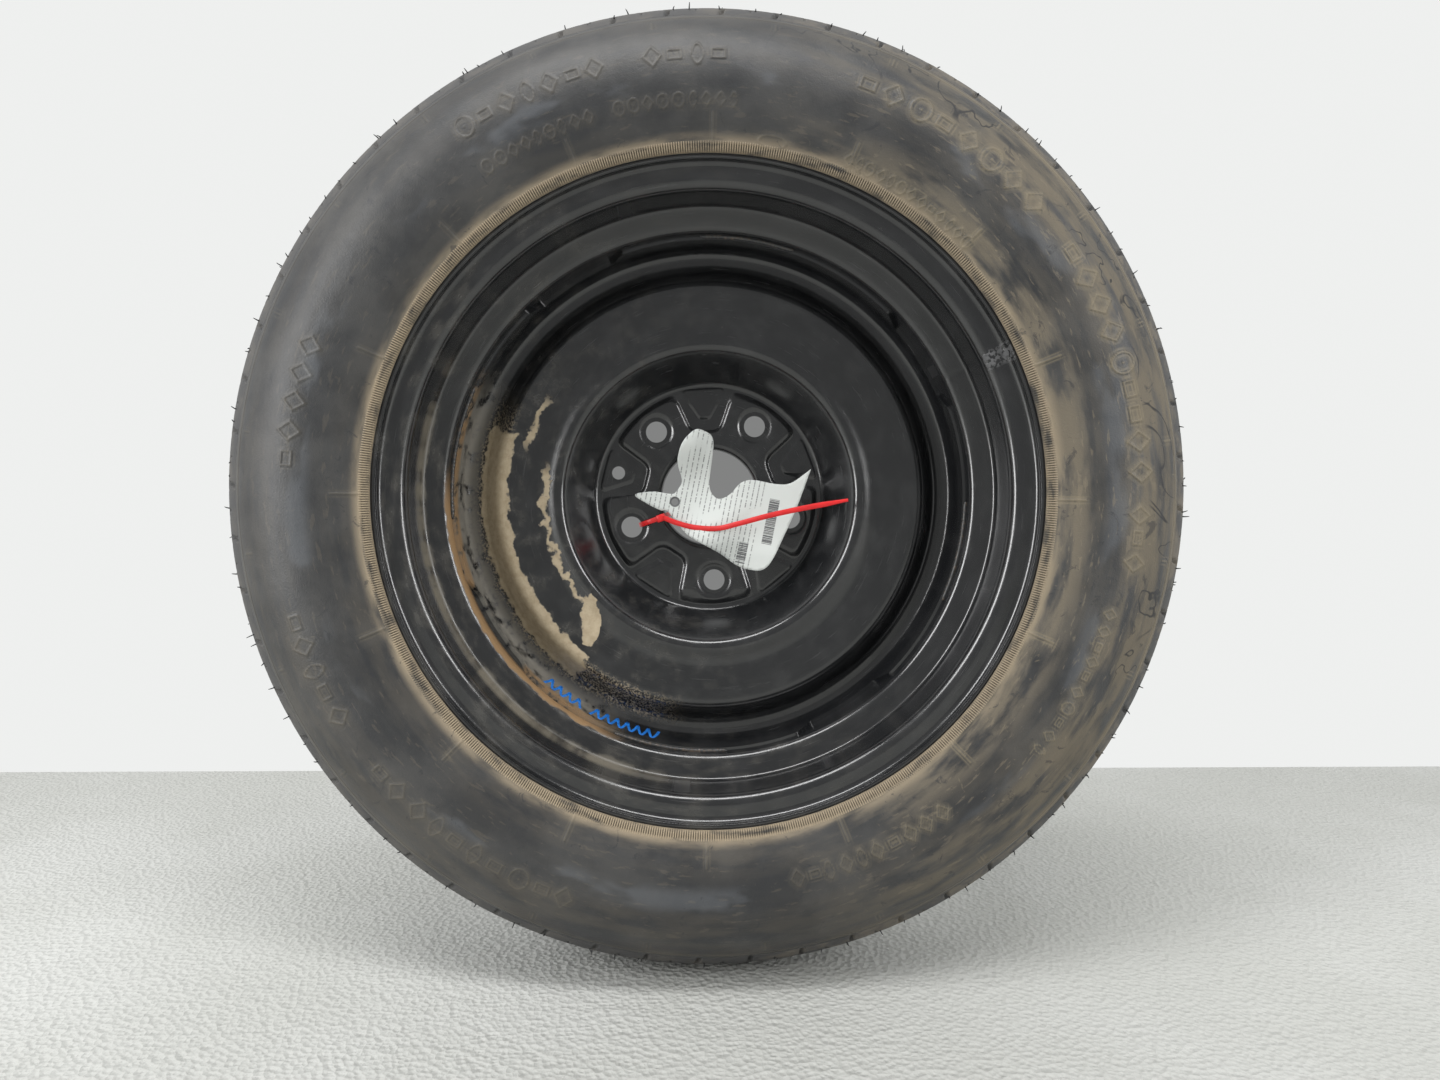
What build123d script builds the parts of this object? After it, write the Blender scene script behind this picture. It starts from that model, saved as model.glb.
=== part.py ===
from build123d import *
import math
import os

# A temporary spare wheel: a T145/90 D16 bias-ply tyre on a 16 x 4 pressed-steel wheel with a snap-in valve.
# Millimetres. The origin is the centre of the rim. +Z is up, the wheel's axis is Y, and the inboard side,
# where the vehicle's hub goes, faces -Y. Profiles are drawn as (radius, distance along the axis).

# --- Tyre ---
TYRE_R = 333.5  # outside radius at the crown
TYRE_HALF_W = 72.5  # half the section width
CROWN_ARC_R = 65.0  # the tread is this round across the tyre
TREAD_HALF_W = 47.0  # from the middle to the mould line at the shoulder
WIDEST_R = 262.0  # wheel radius at which the section is widest
LOWER_R, LOWER_Y = 222.0, 62.0  # where the sidewall meets the rim's lip
CROWN_T = 11.0  # tread and casing together
SIDEWALL_T = 6.5
SHOULDER_IN_R, SHOULDER_IN_Y = 301.0, 50.0  # inner surface under the shoulder
GROOVE_W, GROOVE_D = 5.0, 3.4
GROOVES_Y = (-23.0, 0.0, 23.0)
LINER_T = 1.0
PLY_T = 2.2  # two nylon plies
STRIP_T = 1.6  # rubber strip that rubs on the rim
STRIP_TOP_R = 224.0
TOE_Y = 36.5  # inner edge of the bead
BEAD_IN = ((206.0, 36.5), (214.0, 38.0), (236.0, 57.0))  # inner surface from the toe up
WIRE_W, WIRE_H = 5.5, 6.4
WIRE_R, WIRE_Y = 210.2, 44.0  # centre of the bead's wire bundle
FILLER_TIP = (233.0, 58.6)

# --- Rim ---
SHEET = 2.8
BEAD_SEAT_R = 202.8  # a 16-inch rim
RIM_HALF_W = 50.8  # a 4-inch rim, flange to flange
FLANGE_R = 220.4
LIP_Y = 60.0
WELL_R = 183.0  # inner surface of the well, where the disc's skirt is welded
INNER_DROP_Y = (-16.0, -11.0)  # inboard drop wall, at its top and at its foot
OUTER_DROP_Y = (14.0, 33.0)  # outboard drop wall, at its foot and at its top
FLANGE_BEND_R, DROP_BEND_R = 6.0, 5.0

# --- Disc ---
SKIRT_EDGE_Y = -5.0
VALLEY_Y = 25.0
OFFSET_Y = 44.0  # the hub face is this far outboard of the rim's middle
RELIEF = 2.5  # and this much inboard of the sheet around it
BORE_R = 35.75
BORE_LIP_Y = 52.0
PCD = 127.0
LUGS = 5
LUG_HOLE_R = 8.0
FIRST_LUG_DEG = 57.25
LOBE_R = 79.6
POCKET_FOOT_R = 48.0
RING_R = 46.0  # outside of the raised ring round the bore
DISH_R, DISH_D = 14.5, 1.4  # shallow dish round each lug hole, inboard side
SEAT_R, SEAT_D = 10.2, 1.4  # countersink for the nut, outboard side
LOCATING_R, LOCATING_HOLE_R = 71.5, 5.0
FACET_T = 0.8
SCALLOPS_DEG = (33.0, 122.0, 212.0, 303.0)
SCALLOP_HALF_W, SCALLOP_DEPTH = 42.0, 16.0
WELDS_DEG = ((71.0, 92.0), (155.0, 185.0), (248.0, 274.0), (336.0, 359.0))
WELD_LEG = 2.4

# --- Valve: lengths run along its own axis, out from the rim's surface ---
VALVE_HOLE_R = 5.65
BULB_R, BULB_T = 8.6, 4.6
SHOULDER_R, SHOULDER_T = 7.4, 2.6
STALK_R, STALK_END_R, STALK_TOP = 6.0, 5.3, 21.8
STEM_R, STEM_TOP = 3.85, 32.0
STEM_IN_RUBBER_R = 3.4
CORE_BORE_R, AIR_BORE_R = 2.6, 1.9
CORE_STEP = 18.0  # height of the ledge that the core's gasket sits on
GASKET_H = 2.4
BARREL_R, BARREL_TOP = 2.54, 31.3
TUBE_R, TUBE_BORE_R, TUBE_FOOT, TUBE_FLOOR_T = 1.6, 1.15, 12.0, 0.6
PIN_R, PIN_TOP, PIN_FOOT = 0.45, 31.6, 9.6
PIN_RUN = 0.07  # running clearance of the pin in its barrel
COLLAR_R, COLLAR_FOOT, COLLAR_H = 1.0, 27.6, 0.6
CUP_R, CUP_H, CUP_GAP = 1.4, 1.7, 0.03
SPRING_R, SPRING_WIRE_R, SPRING_TURNS = 0.8, 0.13, 11
SPRING_GAP = 0.05  # between the spring and what it bears on
CAP_R, CAP_FOOT, CAP_TOP, CAP_ROOF = 4.7, 22.4, 35.2, 1.8
CAP_RUN = 0.08  # running clearance of the cap on the stem, whose threads are left smooth
CAP_SEAL_R, CAP_SEAL_T = 3.8, 1.1
CAP_RIBS, CAP_RIB_W, CAP_RIB_H = 20, 0.7, 0.35

HALF = SHEET / 2
os.makedirs("parts", exist_ok=True)


def save(shape, name):
    """Writes one sub-part: a shape, or a list of separate solids that share a node."""
    if isinstance(shape, list):
        shape = Compound(children=shape)
    shape.label = name
    export_step(shape, f"parts/{name}.step")


def flipped(shape):
    """The same profile on the other side of the wheel's middle plane."""
    return mirror(shape, about=Plane.XZ)


def largest(sketch):
    """The biggest face of a sketch that a cut has left in pieces."""
    return max(sketch.faces(), key=lambda face: face.area)


def block(r_low, r_high, y_low, y_high):
    """A rectangle in the profile plane."""
    middle = ((r_low + r_high) / 2, (y_low + y_high) / 2)
    return Pos(*middle) * Rectangle(r_high - r_low, y_high - y_low)


# --- Rim ---
lip_r, seat_r, well_r = FLANGE_R - HALF, BEAD_SEAT_R - HALF, WELL_R + HALF
flange_y = RIM_HALF_W + HALF
rim_path = FilletPolyline(
    [
        (lip_r, -LIP_Y),
        (lip_r, -flange_y),
        (seat_r, -flange_y),
        (seat_r, INNER_DROP_Y[0]),
        (well_r, INNER_DROP_Y[1]),
        (well_r, OUTER_DROP_Y[0]),
        (seat_r, OUTER_DROP_Y[1]),
        (seat_r, flange_y),
        (lip_r, flange_y),
        (lip_r, LIP_Y),
    ],
    radius=[FLANGE_BEND_R] * 2 + [DROP_BEND_R] * 4 + [FLANGE_BEND_R] * 2,
)
rim_section = trace(rim_path, SHEET)

# The valve stands square to the outboard drop wall, on the wheel's +X side.
wall_dr, wall_dy = seat_r - well_r, OUTER_DROP_Y[1] - OUTER_DROP_Y[0]
wall_len = math.hypot(wall_dr, wall_dy)
valve_dir = Vector(-wall_dy / wall_len, wall_dr / wall_len, 0)
wall_mid = Vector((seat_r + well_r) / 2, sum(OUTER_DROP_Y) / 2, 0)
valve_seat = Plane(origin=wall_mid + valve_dir * HALF, x_dir=(0, 0, 1), z_dir=valve_dir)


def bar(radius, low, high, foot_radius=None):
    """A round bar on the valve's axis from low to high, or a cone where the foot radius differs."""
    place = valve_seat * Pos(0, 0, (low + high) / 2)
    if foot_radius is None:
        return place * Cylinder(radius, high - low)
    return place * Cone(foot_radius, radius, high - low)


rim = revolve(rim_section, axis=Axis.Y) - bar(VALVE_HOLE_R, -2 * SHEET, SHEET)


# --- Disc ---
def across(outline, y_inboard, y_outboard):
    """A flat outline, seen from the inboard side, made solid between two distances along the axis."""
    return Plane.XZ.offset(-y_outboard) * extrude(outline, amount=y_outboard - y_inboard)


def around(outline, first_deg):
    """An outline drawn on the +Y side, repeated about the axis, once for each lug."""
    copies = [Rot(0, 0, first_deg - 90 + 360 / LUGS * i) * outline for i in range(LUGS)]
    return Sketch() + copies


def symmetric_outline(right_points, radii):
    """A closed outline from its right-hand points, top first, mirrored to the left."""
    left_points = [(-x, y) for x, y in right_points]
    points = left_points + right_points[::-1]
    path = FilletPolyline(*points, radius=radii)
    return make_face(path + Line(points[-1], points[0]))


sheet_y = OFFSET_Y + RELIEF + HALF
disc_path = FilletPolyline(
    [
        (WELL_R - HALF, SKIRT_EDGE_Y),
        (WELL_R - HALF, VALLEY_Y + HALF),
        (165.0, VALLEY_Y + HALF),
        (152.0, 8.5),
        (120.0, 11.4),
        (107.5, 7.0),
        (87.0, sheet_y),
        (RING_R + 4.0, sheet_y),
        (RING_R, OFFSET_Y + HALF),
        (BORE_R + HALF, OFFSET_Y + HALF),
        (BORE_R + HALF, BORE_LIP_Y),
    ],
    radius=[9.0, 9.0, 7.0, 20.0, 5.5, 7.0, 3.0, 3.0, 3.5],
)
disc = revolve(trace(disc_path, SHEET), axis=Axis.Y)

pocket = symmetric_outline([(36.0, 98.0), (12.0, POCKET_FOOT_R)], [13.0, 13.0])
pocket_deg = FIRST_LUG_DEG + 180 / LUGS
star = Circle(LOBE_R) - around(pocket, pocket_deg)
corners = [v for v in star.vertices() if Vector(v.X, v.Y, 0).length > LOBE_R - 1]
star = fillet(corners, 6.0)
back_y = OFFSET_Y + RELIEF + SHEET
disc += across(star - Circle(RING_R), OFFSET_Y, OFFSET_Y + RELIEF + HALF)
disc -= across(offset(star, -0.75 * SHEET) - Circle(RING_R + HALF), OFFSET_Y + SHEET, back_y + 1.0)

facet = symmetric_outline([(15.5, 81.0), (3.0, 59.5)], [5.0, 5.0])
facet_y = OFFSET_Y + RELIEF - FACET_T
disc += across(around(facet, pocket_deg), facet_y, OFFSET_Y + RELIEF + HALF)

for i in range(LUGS):
    angle = math.radians(FIRST_LUG_DEG + 360 / LUGS * i)
    lug = Plane((PCD / 2 * math.cos(angle), OFFSET_Y, PCD / 2 * math.sin(angle)), z_dir=(0, 1, 0))
    boss_top = SHEET + DISH_D
    disc += lug * Pos(0, 0, boss_top - DISH_D / 2 - 0.2) * Cone(DISH_R + 0.8, DISH_R - 1.2, DISH_D + 0.4)
    disc -= lug * Pos(0, 0, DISH_D / 2) * Cone(DISH_R, DISH_R - 3.2, DISH_D)
    disc -= lug * Pos(0, 0, SHEET) * Cylinder(LUG_HOLE_R, 6 * SHEET)
    disc -= lug * Pos(0, 0, boss_top - SEAT_D / 2) * Cone(LUG_HOLE_R, SEAT_R, SEAT_D)

locating_deg = FIRST_LUG_DEG + 360 / LUGS * 1.5
locating = Rot(0, 0, locating_deg - 90) * Pos(0, LOCATING_R) * Circle(LOCATING_HOLE_R)
disc -= across(locating, OFFSET_Y - SHEET, OFFSET_Y + 4 * SHEET)

scallop = symmetric_outline(
    [(SCALLOP_HALF_W + 8, -3.0), (SCALLOP_HALF_W - 1, 0.0), (SCALLOP_HALF_W - 16, SCALLOP_DEPTH)],
    [8.0, 14.0, 14.0, 8.0],
)
scallop_place = Plane(origin=(166.0, SKIRT_EDGE_Y, 0), x_dir=(0, 0, -1), z_dir=(1, 0, 0))
scallop_cutter = scallop_place * extrude(scallop, amount=24.0)
for degrees in SCALLOPS_DEG:
    disc -= scallop_cutter.rotate(Axis.Y, -degrees)

# --- Weld beads, in the corner between the skirt's edge and the well ---
bead_foot, bead_side = (WELL_R, SKIRT_EDGE_Y - WELD_LEG), (WELL_R - WELD_LEG, SKIRT_EDGE_Y)
bead_crown = (WELL_R - 0.6 * WELD_LEG, SKIRT_EDGE_Y - 0.6 * WELD_LEG)
bead_section = make_face(
    Polyline(bead_side, (WELL_R, SKIRT_EDGE_Y), bead_foot) + ThreePointArc(bead_foot, bead_crown, bead_side)
)
welds = []
for start, end in WELDS_DEG:
    weld = revolve(bead_section, axis=Axis.Y, revolution_arc=end - start)
    welds.append(weld.rotate(Axis.Y, -end))

# --- Tyre section ---
crown_centre = TYRE_R - CROWN_ARC_R
shoulder_r = crown_centre + math.sqrt(CROWN_ARC_R**2 - TREAD_HALF_W**2)


def tangent_arc_r(rise, fall):
    """Radius of the arc that is widest at one end and falls this much over this rise."""
    return (rise**2 + fall**2) / (2 * fall)


def arc_to_widest(r, y, widest_y):
    """The arc from a point on the section to its widest point, where it runs square to the axis."""
    arc_r = tangent_arc_r(abs(r - WIDEST_R), widest_y - y)
    middle_r = (r + WIDEST_R) / 2
    middle_y = widest_y - arc_r + math.sqrt(arc_r**2 - (middle_r - WIDEST_R) ** 2)
    return ThreePointArc((r, y), (middle_r, middle_y), (WIDEST_R, widest_y))


below = 12.0  # the outlines run this far under the bead seat and are trimmed by the rim
half_outside = (
    arc_to_widest(shoulder_r, TREAD_HALF_W, TYRE_HALF_W)
    + arc_to_widest(LOWER_R, LOWER_Y, TYRE_HALF_W)
    + Polyline(
        (LOWER_R, LOWER_Y), (lip_r, LIP_Y - 1), (BEAD_SEAT_R - below, LIP_Y - 1), (BEAD_SEAT_R - below, 0)
    )
)
crown = ThreePointArc((shoulder_r, -TREAD_HALF_W), (TYRE_R, 0), (shoulder_r, TREAD_HALF_W))
outside = make_face(crown + half_outside + flipped(half_outside))

inner_widest_y = TYRE_HALF_W - SIDEWALL_T
half_cavity = (
    arc_to_widest(SHOULDER_IN_R, SHOULDER_IN_Y, inner_widest_y)
    + arc_to_widest(*BEAD_IN[-1], inner_widest_y)
    + Polyline(*BEAD_IN[::-1], (BEAD_SEAT_R - 2 * below, TOE_Y), (BEAD_SEAT_R - 2 * below, 0))
)
inner_crown = ThreePointArc(
    (SHOULDER_IN_R, -SHOULDER_IN_Y), (TYRE_R - CROWN_T, 0), (SHOULDER_IN_R, SHOULDER_IN_Y)
)
cavity = make_face(inner_crown + half_cavity + flipped(half_cavity))
tyre = largest(outside - rim_section - cavity)

wire = block(WIRE_R - WIRE_H / 2, WIRE_R + WIRE_H / 2, WIRE_Y - WIRE_W / 2, WIRE_Y + WIRE_W / 2)
wire_top = WIRE_R + WIRE_H / 2
filler = make_face(
    Polyline(
        (wire_top, WIRE_Y - WIRE_W / 2), (wire_top, WIRE_Y + WIRE_W / 2), FILLER_TIP, close=True
    )
)
lined = offset(cavity, LINER_T)
plied = offset(cavity, LINER_T + PLY_T)
turn_up = offset(wire + filler, PLY_T)
beads = wire + filler + flipped(wire) + flipped(filler)
strip_zone = (Sketch() + trace(rim_path, SHEET + 2 * STRIP_T)) & (
    block(0, STRIP_TOP_R, TOE_Y, LIP_Y + 5) + block(0, STRIP_TOP_R, -LIP_Y - 5, -TOE_Y)
)
plies_zone = (plied - block(0, WIRE_R, -TYRE_HALF_W, TYRE_HALF_W)) + turn_up + flipped(turn_up)

tread_edge = (crown_centre + 2 * (shoulder_r - crown_centre), 2 * TREAD_HALF_W)
tread_zone = make_face(
    Polyline((crown_centre, 0), tread_edge, (tread_edge[0], -tread_edge[1]), close=True)
)
grooves = [block(TYRE_R - GROOVE_D - 8, TYRE_R, y - GROOVE_W / 2, y + GROOVE_W / 2) for y in GROOVES_Y]
groove_floor = Pos(crown_centre, 0) * Circle(CROWN_ARC_R - GROOVE_D)

liner = largest((tyre & lined) - strip_zone)
plies = largest((tyre & plies_zone) - lined - strip_zone - beads)
rubber = tyre - lined - plies - strip_zone - beads
tread = largest((rubber & tread_zone) - [groove - groove_floor for groove in grooves])
sidewall = largest((rubber - tread_zone) & block(0, TYRE_R, 0, 2 * TYRE_HALF_W))
toe_rubber = rubber & block(0, WIRE_R + WIRE_H, TOE_Y, RIM_HALF_W)
strip = largest((tyre & strip_zone & block(0, TYRE_R, 0, 2 * TYRE_HALF_W)) + toe_rubber)

tyre_pieces = {"tread": tread, "casing_plies": plies, "inner_liner": liner}
for name, profile in (
    ("sidewall", sidewall),
    ("rim_strip", strip),
    ("bead_wire", wire),
    ("bead_filler", filler),
):
    tyre_pieces[name + "_outboard"] = profile
    tyre_pieces[name + "_inboard"] = flipped(profile)

# --- Valve ---
valve_body = (
    bar(BULB_R, -SHEET - BULB_T, -SHEET, foot_radius=BULB_R - 1.2)
    + bar(VALVE_HOLE_R, -SHEET, 0)
    + bar(SHOULDER_R, 0, SHOULDER_T)
    + bar(STALK_END_R, SHOULDER_T, STALK_TOP, foot_radius=STALK_R)
    - bar(STEM_IN_RUBBER_R, -2 * BULB_R, STALK_TOP)
    - rim
)
valve_stem = (
    bar(STEM_IN_RUBBER_R, -SHEET - BULB_T, STALK_TOP)
    + bar(STEM_R, STALK_TOP, STEM_TOP)
    - bar(AIR_BORE_R, -2 * BULB_R, CORE_STEP)
    - bar(CORE_BORE_R, CORE_STEP, STEM_TOP + 1)
)
core_gasket = bar(CORE_BORE_R, CORE_STEP, CORE_STEP + GASKET_H) - bar(TUBE_R, 0, STEM_TOP)
core_barrel = (
    bar(BARREL_R, CORE_STEP + GASKET_H, BARREL_TOP)
    + bar(TUBE_R, TUBE_FOOT, CORE_STEP + GASKET_H)
    - bar(TUBE_BORE_R, TUBE_FOOT + TUBE_FLOOR_T, STEM_TOP)
    - bar(PIN_R + PIN_RUN, 0, STEM_TOP)
)
core_pin = bar(PIN_R, PIN_FOOT, PIN_TOP) + bar(COLLAR_R, COLLAR_FOOT, COLLAR_FOOT + COLLAR_H)
cup_top = TUBE_FOOT - CUP_GAP
cup_seal = bar(CUP_R, cup_top - CUP_H, cup_top) - bar(PIN_R, 0, STEM_TOP)

spring_low = TUBE_FOOT + TUBE_FLOOR_T + SPRING_GAP + SPRING_WIRE_R
spring_high = COLLAR_FOOT - SPRING_GAP - SPRING_WIRE_R
spring_len = spring_high - spring_low
helix = Helix(pitch=spring_len / SPRING_TURNS, height=spring_len, radius=SPRING_R)
wire_ring = Plane(origin=helix @ 0, z_dir=helix % 0) * Circle(SPRING_WIRE_R)
core_spring = valve_seat * Pos(0, 0, spring_low) * sweep(wire_ring, path=helix)

seal_foot = CAP_TOP - CAP_ROOF - CAP_SEAL_T
cap_seal = bar(CAP_SEAL_R, seal_foot, seal_foot + CAP_SEAL_T)
cap = bar(CAP_R, CAP_FOOT, CAP_TOP) - bar(STEM_R + CAP_RUN, CAP_FOOT - 1, CAP_TOP - CAP_ROOF)
rib_len = CAP_TOP - CAP_FOOT - CAP_ROOF
for i in range(CAP_RIBS):
    rib = Pos(CAP_R, 0, CAP_FOOT + rib_len / 2) * Box(2 * CAP_RIB_H, CAP_RIB_W, rib_len)
    cap += valve_seat * Rot(0, 0, 360 / CAP_RIBS * i) * rib

# --- Write the sub-parts ---
for name, profile in tyre_pieces.items():
    save(revolve(profile, axis=Axis.Y), name)
save(rim, "rim")
save(disc, "disc")
save(welds, "weld_beads")
for name, shape in {
    "valve_body": valve_body,
    "valve_stem": valve_stem,
    "valve_core_gasket": core_gasket,
    "valve_core_barrel": core_barrel,
    "valve_core_pin": core_pin,
    "valve_core_cup_seal": cup_seal,
    "valve_core_spring": core_spring,
    "valve_cap_seal": cap_seal,
    "valve_cap": cap,
}.items():
    save(shape, name)
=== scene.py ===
import math
import random

import bpy
import numpy as np
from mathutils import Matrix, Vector
from mathutils.geometry import delaunay_2d_cdt


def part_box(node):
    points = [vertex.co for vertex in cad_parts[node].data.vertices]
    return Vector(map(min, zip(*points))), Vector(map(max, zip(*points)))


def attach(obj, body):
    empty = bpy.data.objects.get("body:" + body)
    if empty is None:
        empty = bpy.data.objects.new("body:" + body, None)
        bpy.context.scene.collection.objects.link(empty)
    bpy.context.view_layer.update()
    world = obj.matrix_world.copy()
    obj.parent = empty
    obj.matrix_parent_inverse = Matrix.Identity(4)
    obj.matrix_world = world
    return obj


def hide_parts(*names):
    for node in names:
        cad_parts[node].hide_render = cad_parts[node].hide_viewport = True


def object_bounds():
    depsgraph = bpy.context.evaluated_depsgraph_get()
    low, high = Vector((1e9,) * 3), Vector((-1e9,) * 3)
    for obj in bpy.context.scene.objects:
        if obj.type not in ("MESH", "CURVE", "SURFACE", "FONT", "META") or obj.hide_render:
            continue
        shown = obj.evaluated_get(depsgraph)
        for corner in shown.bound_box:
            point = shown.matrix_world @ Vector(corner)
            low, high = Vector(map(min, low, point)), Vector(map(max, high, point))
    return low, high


# A temporary spare wheel seen from its inboard side. Lengths in this script are millimetres and are turned into
# metres when a mesh is made. The wheel's axis is Y, the inboard side faces -Y, and angles run from +X towards +Z,
# as they are seen from the inboard side. Profiles are (radius, distance along the axis).

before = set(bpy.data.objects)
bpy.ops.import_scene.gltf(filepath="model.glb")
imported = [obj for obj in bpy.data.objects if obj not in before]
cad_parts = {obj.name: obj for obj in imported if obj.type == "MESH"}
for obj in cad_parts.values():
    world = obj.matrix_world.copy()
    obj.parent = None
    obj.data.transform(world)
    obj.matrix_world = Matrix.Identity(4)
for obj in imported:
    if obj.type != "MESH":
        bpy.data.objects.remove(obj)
cad_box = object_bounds()
rng = random.Random(16)
MM = 0.001


def corner(node, which):
    """The lowest (0) or highest (1) corner of a CAD node, in millimetres."""
    return [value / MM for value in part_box(node)[which]]


TYRE_R = corner("tread", 1)[2]
TYRE_HALF_W = corner("sidewall_outboard", 1)[1]
SHOULDER_R = corner("sidewall_outboard", 1)[2]
TREAD_HALF_W = corner("tread", 1)[1]
CROWN_ARC_R = 65.0
CROWN_CENTRE = TYRE_R - CROWN_ARC_R
WIDEST_R = 262.0
STRIP_TOP_R = corner("rim_strip_inboard", 1)[2] + 0.4
PITCHES = 56

SHEET = 2.8
HALF = SHEET / 2
WELL_R = corner("disc", 1)[2]
SKIRT_EDGE_Y = corner("disc", 0)[1]
BORE_LIP_Y = corner("disc", 1)[1]
BORE_R = 35.75
OFFSET_Y = 44.0
RELIEF = 2.5
BOLT_R = 63.5
LUGS = 5
LUG_HOLE_R = 8.0
FIRST_LUG_DEG = 57.25
LOBE_R = 79.6
RING_R = 46.0
LOCATING_R, LOCATING_HOLE_R = 71.5, 5.0
SCALLOPS_DEG = (33.0, 122.0, 212.0, 303.0)
SCALLOP_DEPTH = 16.0
WELDS_DEG = ((71.0, 92.0), (155.0, 185.0), (248.0, 274.0), (336.0, 359.0))


# --- meshes
def add_mesh(name, verts, faces, material):
    """A mesh object from arrays: vertices in millimetres, and faces that all have the same number of corners."""
    faces = np.asarray(faces, np.int32)
    corners = faces.shape[1]
    mesh = bpy.data.meshes.new(name)
    mesh.vertices.add(len(verts))
    mesh.vertices.foreach_set("co", (np.asarray(verts, np.float64) * MM).astype(np.float32).ravel())
    mesh.loops.add(faces.size)
    mesh.loops.foreach_set("vertex_index", faces.ravel())
    mesh.polygons.add(len(faces))
    mesh.polygons.foreach_set("loop_start", np.arange(0, faces.size, corners, dtype=np.int32))
    mesh.update(calc_edges=True)
    mesh.validate()
    mesh.shade_smooth()
    obj = bpy.data.objects.new(name, mesh)
    bpy.context.scene.collection.objects.link(obj)
    obj.data.materials.append(material)
    return obj


def paint_value(obj, name, values):
    """Stores one value for each vertex, for a material to read."""
    stored = obj.data.attributes.new(name, "FLOAT", "POINT")
    stored.data.foreach_set("value", values.astype(np.float32).ravel())


def unit(vectors):
    return vectors / np.linalg.norm(vectors, axis=1)[:, None]


def ring_quads(rows, columns, close_rows=True, close_columns=True):
    """Quads over a grid of vertices, stored row by row."""
    i = np.arange(rows if close_rows else rows - 1)[:, None]
    j = np.arange(columns if close_columns else columns - 1)[None, :]
    below, right = (i + 1) % rows, (j + 1) % columns
    quads = [i * columns + j, i * columns + right, below * columns + right, below * columns + j]
    return np.stack(np.broadcast_arrays(*quads), -1).reshape(-1, 4)


def turned_out(verts, faces):
    """The faces of a closed mesh, wound so that they face out."""
    p = np.asarray(verts)[np.asarray(faces)[:, :3]]
    volume = np.einsum("ij,ij->i", p[:, 0], np.cross(p[:, 1], p[:, 2])).sum()
    return faces if volume > 0 else np.asarray(faces)[:, ::-1]


def angles(count):
    return np.arange(count) * (2 * math.pi / count)


def swing(r, y, theta):
    """Vertices at radii, distances along the axis and angles, which broadcast together."""
    x, z, depth = np.broadcast_arrays(r * np.cos(theta), r * np.sin(theta), y)
    return np.stack([x, depth, z], -1)


def ring_mesh(name, r, y, theta, material):
    """A closed ring of revolution from arrays of shape (points of the closed section, angles)."""
    verts = swing(r, y, theta)
    rows, columns = verts.shape[:2]
    flat = verts.reshape(-1, 3)
    return add_mesh(name, flat, turned_out(flat, ring_quads(rows, columns)), material)


def rounded_path(points, radii, step):
    """Points and directions along straight runs joined by arcs: an array of (r, y, direction r, direction y)."""
    out = []
    points = [np.array(p, float) for p in points]
    start = points[0]
    for i, radius in enumerate(radii, 1):
        here = points[i]
        a = (here - points[i - 1]) / np.linalg.norm(here - points[i - 1])
        b = (points[i + 1] - here) / np.linalg.norm(points[i + 1] - here)
        turn = math.acos(float(np.clip(a @ b, -1, 1)))
        reach = radius * math.tan(turn / 2)
        arc_start = here - a * reach
        count = max(1, round(np.linalg.norm(arc_start - start) / step))
        out += [(*(start + (arc_start - start) * k / count), *a) for k in range(count)]
        side = math.copysign(1, a[0] * b[1] - a[1] * b[0])
        normal = np.array([-a[1], a[0]]) * side
        centre = arc_start + normal * radius
        steps = max(4, round(math.degrees(turn) / 7))
        for k in range(steps):
            t = turn * k / steps
            along = a * math.cos(t) + normal * math.sin(t)
            out.append((*(centre - (normal * math.cos(t) - a * math.sin(t)) * radius), *along))
        start = here + b * reach
    last = points[-1]
    b = (last - start) / np.linalg.norm(last - start)
    count = max(1, round(np.linalg.norm(last - start) / step))
    out += [(*(start + (last - start) * k / count), *b) for k in range(count + 1)]
    return np.array(out)


def shifted(path, amount):
    """A path moved sideways, to the left of its direction."""
    return np.stack([path[:, 0] - path[:, 3] * amount, path[:, 1] + path[:, 2] * amount], -1)


def smooth(low, high, value):
    """0 below low, 1 above high, with a soft step between; low may be the larger."""
    t = np.clip((value - low) / (high - low), 0, 1)
    return t * t * (3 - 2 * t)


def ridge(distance, half_width):
    """A rounded ridge of height 1 on the line where the distance is 0."""
    return np.clip(1 - (distance / half_width) ** 2, 0, 1) ** 1.5


def from_angle(theta, degrees):
    """The signed angle from a direction, in radians."""
    return (theta - math.radians(degrees) + math.pi) % (2 * math.pi) - math.pi


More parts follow.
